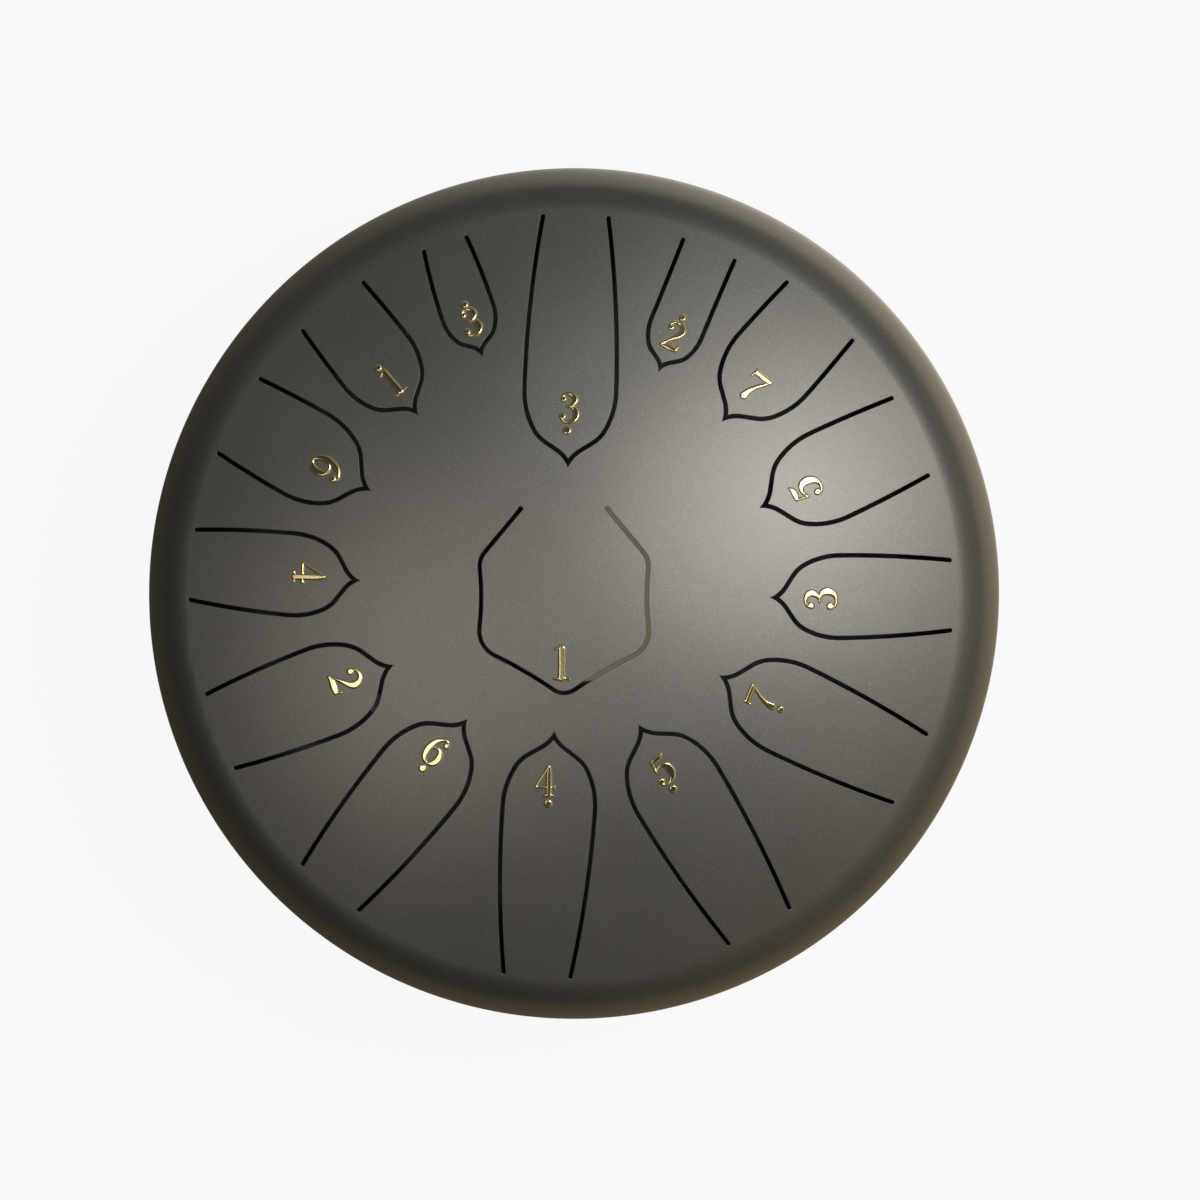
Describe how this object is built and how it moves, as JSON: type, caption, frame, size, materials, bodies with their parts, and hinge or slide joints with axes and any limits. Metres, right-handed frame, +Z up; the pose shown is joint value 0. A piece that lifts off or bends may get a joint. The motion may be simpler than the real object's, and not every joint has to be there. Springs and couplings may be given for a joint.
{
  "type": "steel tongue drum",
  "caption": "Round two-shell steel hand drum with petal-shaped spring tongues cut in its domed top, a round sound hole below and rubber feet.",
  "frame": {"origin": "on the floor under the middle of the drum, at the centre of the bottom of its bounding box", "axes": "+Z up along the drum's axis, +Y towards the root of the centre tongue, +X to its right"},
  "size_m": [0.356, 0.356, 0.17],
  "materials": {
    "shell_paint": "fine speckled dark grey metallic spray paint, satin",
    "foot_rubber": "matt moulded rubber",
    "zinc_steel": "bright zinc plate",
    "note_numerals": "polished electroformed metal numerals with bevelled edges"
  },
  "bodies": {
    "drum": {"upper_shell": "shell_paint", "lower_shell": "shell_paint", "seam_weld": "shell_paint", "foot_back": "foot_rubber", "foot_left": "foot_rubber", "foot_right": "foot_rubber", "foot_screw_back": "zinc_steel", "foot_screw_left": "zinc_steel", "foot_screw_right": "zinc_steel", "foot_washer_back": "zinc_steel", "foot_washer_left": "zinc_steel", "foot_washer_right": "zinc_steel", "foot_nut_back": "zinc_steel", "foot_nut_left": "zinc_steel", "foot_nut_right": "zinc_steel"},
    "mid_1": {"tongue_mid_1": "shell_paint"},
    "low_3": {"tongue_low_3": "shell_paint"},
    "low_4": {"tongue_low_4": "shell_paint"},
    "low_5": {"tongue_low_5": "shell_paint"},
    "low_6": {"tongue_low_6": "shell_paint"},
    "low_7": {"tongue_low_7": "shell_paint"},
    "mid_2": {"tongue_mid_2": "shell_paint"},
    "mid_3": {"tongue_mid_3": "shell_paint"},
    "mid_4": {"tongue_mid_4": "shell_paint"},
    "mid_5": {"tongue_mid_5": "shell_paint"},
    "mid_6": {"tongue_mid_6": "shell_paint"},
    "mid_7": {"tongue_mid_7": "shell_paint"},
    "high_1": {"tongue_high_1": "shell_paint"},
    "high_2": {"tongue_high_2": "shell_paint"},
    "high_3": {"tongue_high_3": "shell_paint"}
  },
  "joints": [
    {"name": "bend_mid_1", "type": "hinge", "parent": "drum", "child": "mid_1", "pos_m": [-0.0035, 0.0355, 0.16807], "axis": [1, 0, 0], "range_deg": [-0.386, 0.386], "stiffness_Nm_per_rad": 198},
    {"name": "bend_low_3", "type": "hinge", "parent": "drum", "child": "low_3", "pos_m": [0.00111, 0.1544, 0.14954], "axis": [0.9996, -0.0297, 0], "range_deg": [-0.286, 0.286], "stiffness_Nm_per_rad": 93},
    {"name": "bend_low_4", "type": "hinge", "parent": "drum", "child": "low_4", "pos_m": [-0.01478, -0.15466, 0.14929], "axis": [-0.9973, 0.0732, 0], "range_deg": [-0.29, 0.29], "stiffness_Nm_per_rad": 96},
    {"name": "bend_low_5", "type": "hinge", "parent": "drum", "child": "low_5", "pos_m": [0.07579, -0.13454, 0.14953], "axis": [-0.8599, -0.5105, 0], "range_deg": [-0.303, 0.303], "stiffness_Nm_per_rad": 102},
    {"name": "bend_low_6", "type": "hinge", "parent": "drum", "child": "low_6", "pos_m": [-0.0989, -0.11881, 0.14949], "axis": [-0.7771, 0.6293, 0], "range_deg": [-0.328, 0.328], "stiffness_Nm_per_rad": 112},
    {"name": "bend_low_7", "type": "hinge", "parent": "drum", "child": "low_7", "pos_m": [0.13711, -0.07019, 0.14963], "axis": [-0.4415, -0.8973, 0], "range_deg": [-0.338, 0.338], "stiffness_Nm_per_rad": 118},
    {"name": "bend_mid_2", "type": "hinge", "parent": "drum", "child": "mid_2", "pos_m": [-0.14363, -0.05507, 0.14969], "axis": [-0.36, 0.933, 0], "range_deg": [-0.386, 0.386], "stiffness_Nm_per_rad": 137},
    {"name": "bend_mid_3", "type": "hinge", "parent": "drum", "child": "mid_3", "pos_m": [0.15366, 0.00037, 0.14973], "axis": [0.0087, -1, 0], "range_deg": [-0.399, 0.399], "stiffness_Nm_per_rad": 126},
    {"name": "bend_mid_4", "type": "hinge", "parent": "drum", "child": "mid_4", "pos_m": [-0.15493, 0.01278, 0.14927], "axis": [0.0906, 0.9959, 0], "range_deg": [-0.427, 0.427], "stiffness_Nm_per_rad": 135},
    {"name": "bend_mid_5", "type": "hinge", "parent": "drum", "child": "mid_5", "pos_m": [0.13714, 0.06488, 0.15022], "axis": [0.4242, -0.9056, 0], "range_deg": [-0.435, 0.435], "stiffness_Nm_per_rad": 159},
    {"name": "bend_mid_6", "type": "hinge", "parent": "drum", "child": "mid_6", "pos_m": [-0.13597, 0.07334, 0.14952], "axis": [0.4894, 0.8721, 0], "range_deg": [-0.476, 0.476], "stiffness_Nm_per_rad": 174},
    {"name": "bend_mid_7", "type": "hinge", "parent": "drum", "child": "mid_7", "pos_m": [0.10033, 0.11595, 0.14981], "axis": [0.7478, -0.6639, 0], "range_deg": [-0.493, 0.493], "stiffness_Nm_per_rad": 182},
    {"name": "bend_high_1", "type": "hinge", "parent": "drum", "child": "high_1", "pos_m": [-0.09776, 0.11792, 0.14985], "axis": [0.7837, 0.6211, 0], "range_deg": [-0.53, 0.53], "stiffness_Nm_per_rad": 173},
    {"name": "bend_high_2", "type": "hinge", "parent": "drum", "child": "high_2", "pos_m": [0.05528, 0.14091, 0.15031], "axis": [0.9239, -0.3827, 0], "range_deg": [-0.55, 0.55], "stiffness_Nm_per_rad": 125},
    {"name": "bend_high_3", "type": "hinge", "parent": "drum", "child": "high_3", "pos_m": [-0.05205, 0.14326, 0.15004], "axis": [0.9478, 0.319, 0], "range_deg": [-0.62, 0.62], "stiffness_Nm_per_rad": 126}
  ]
}
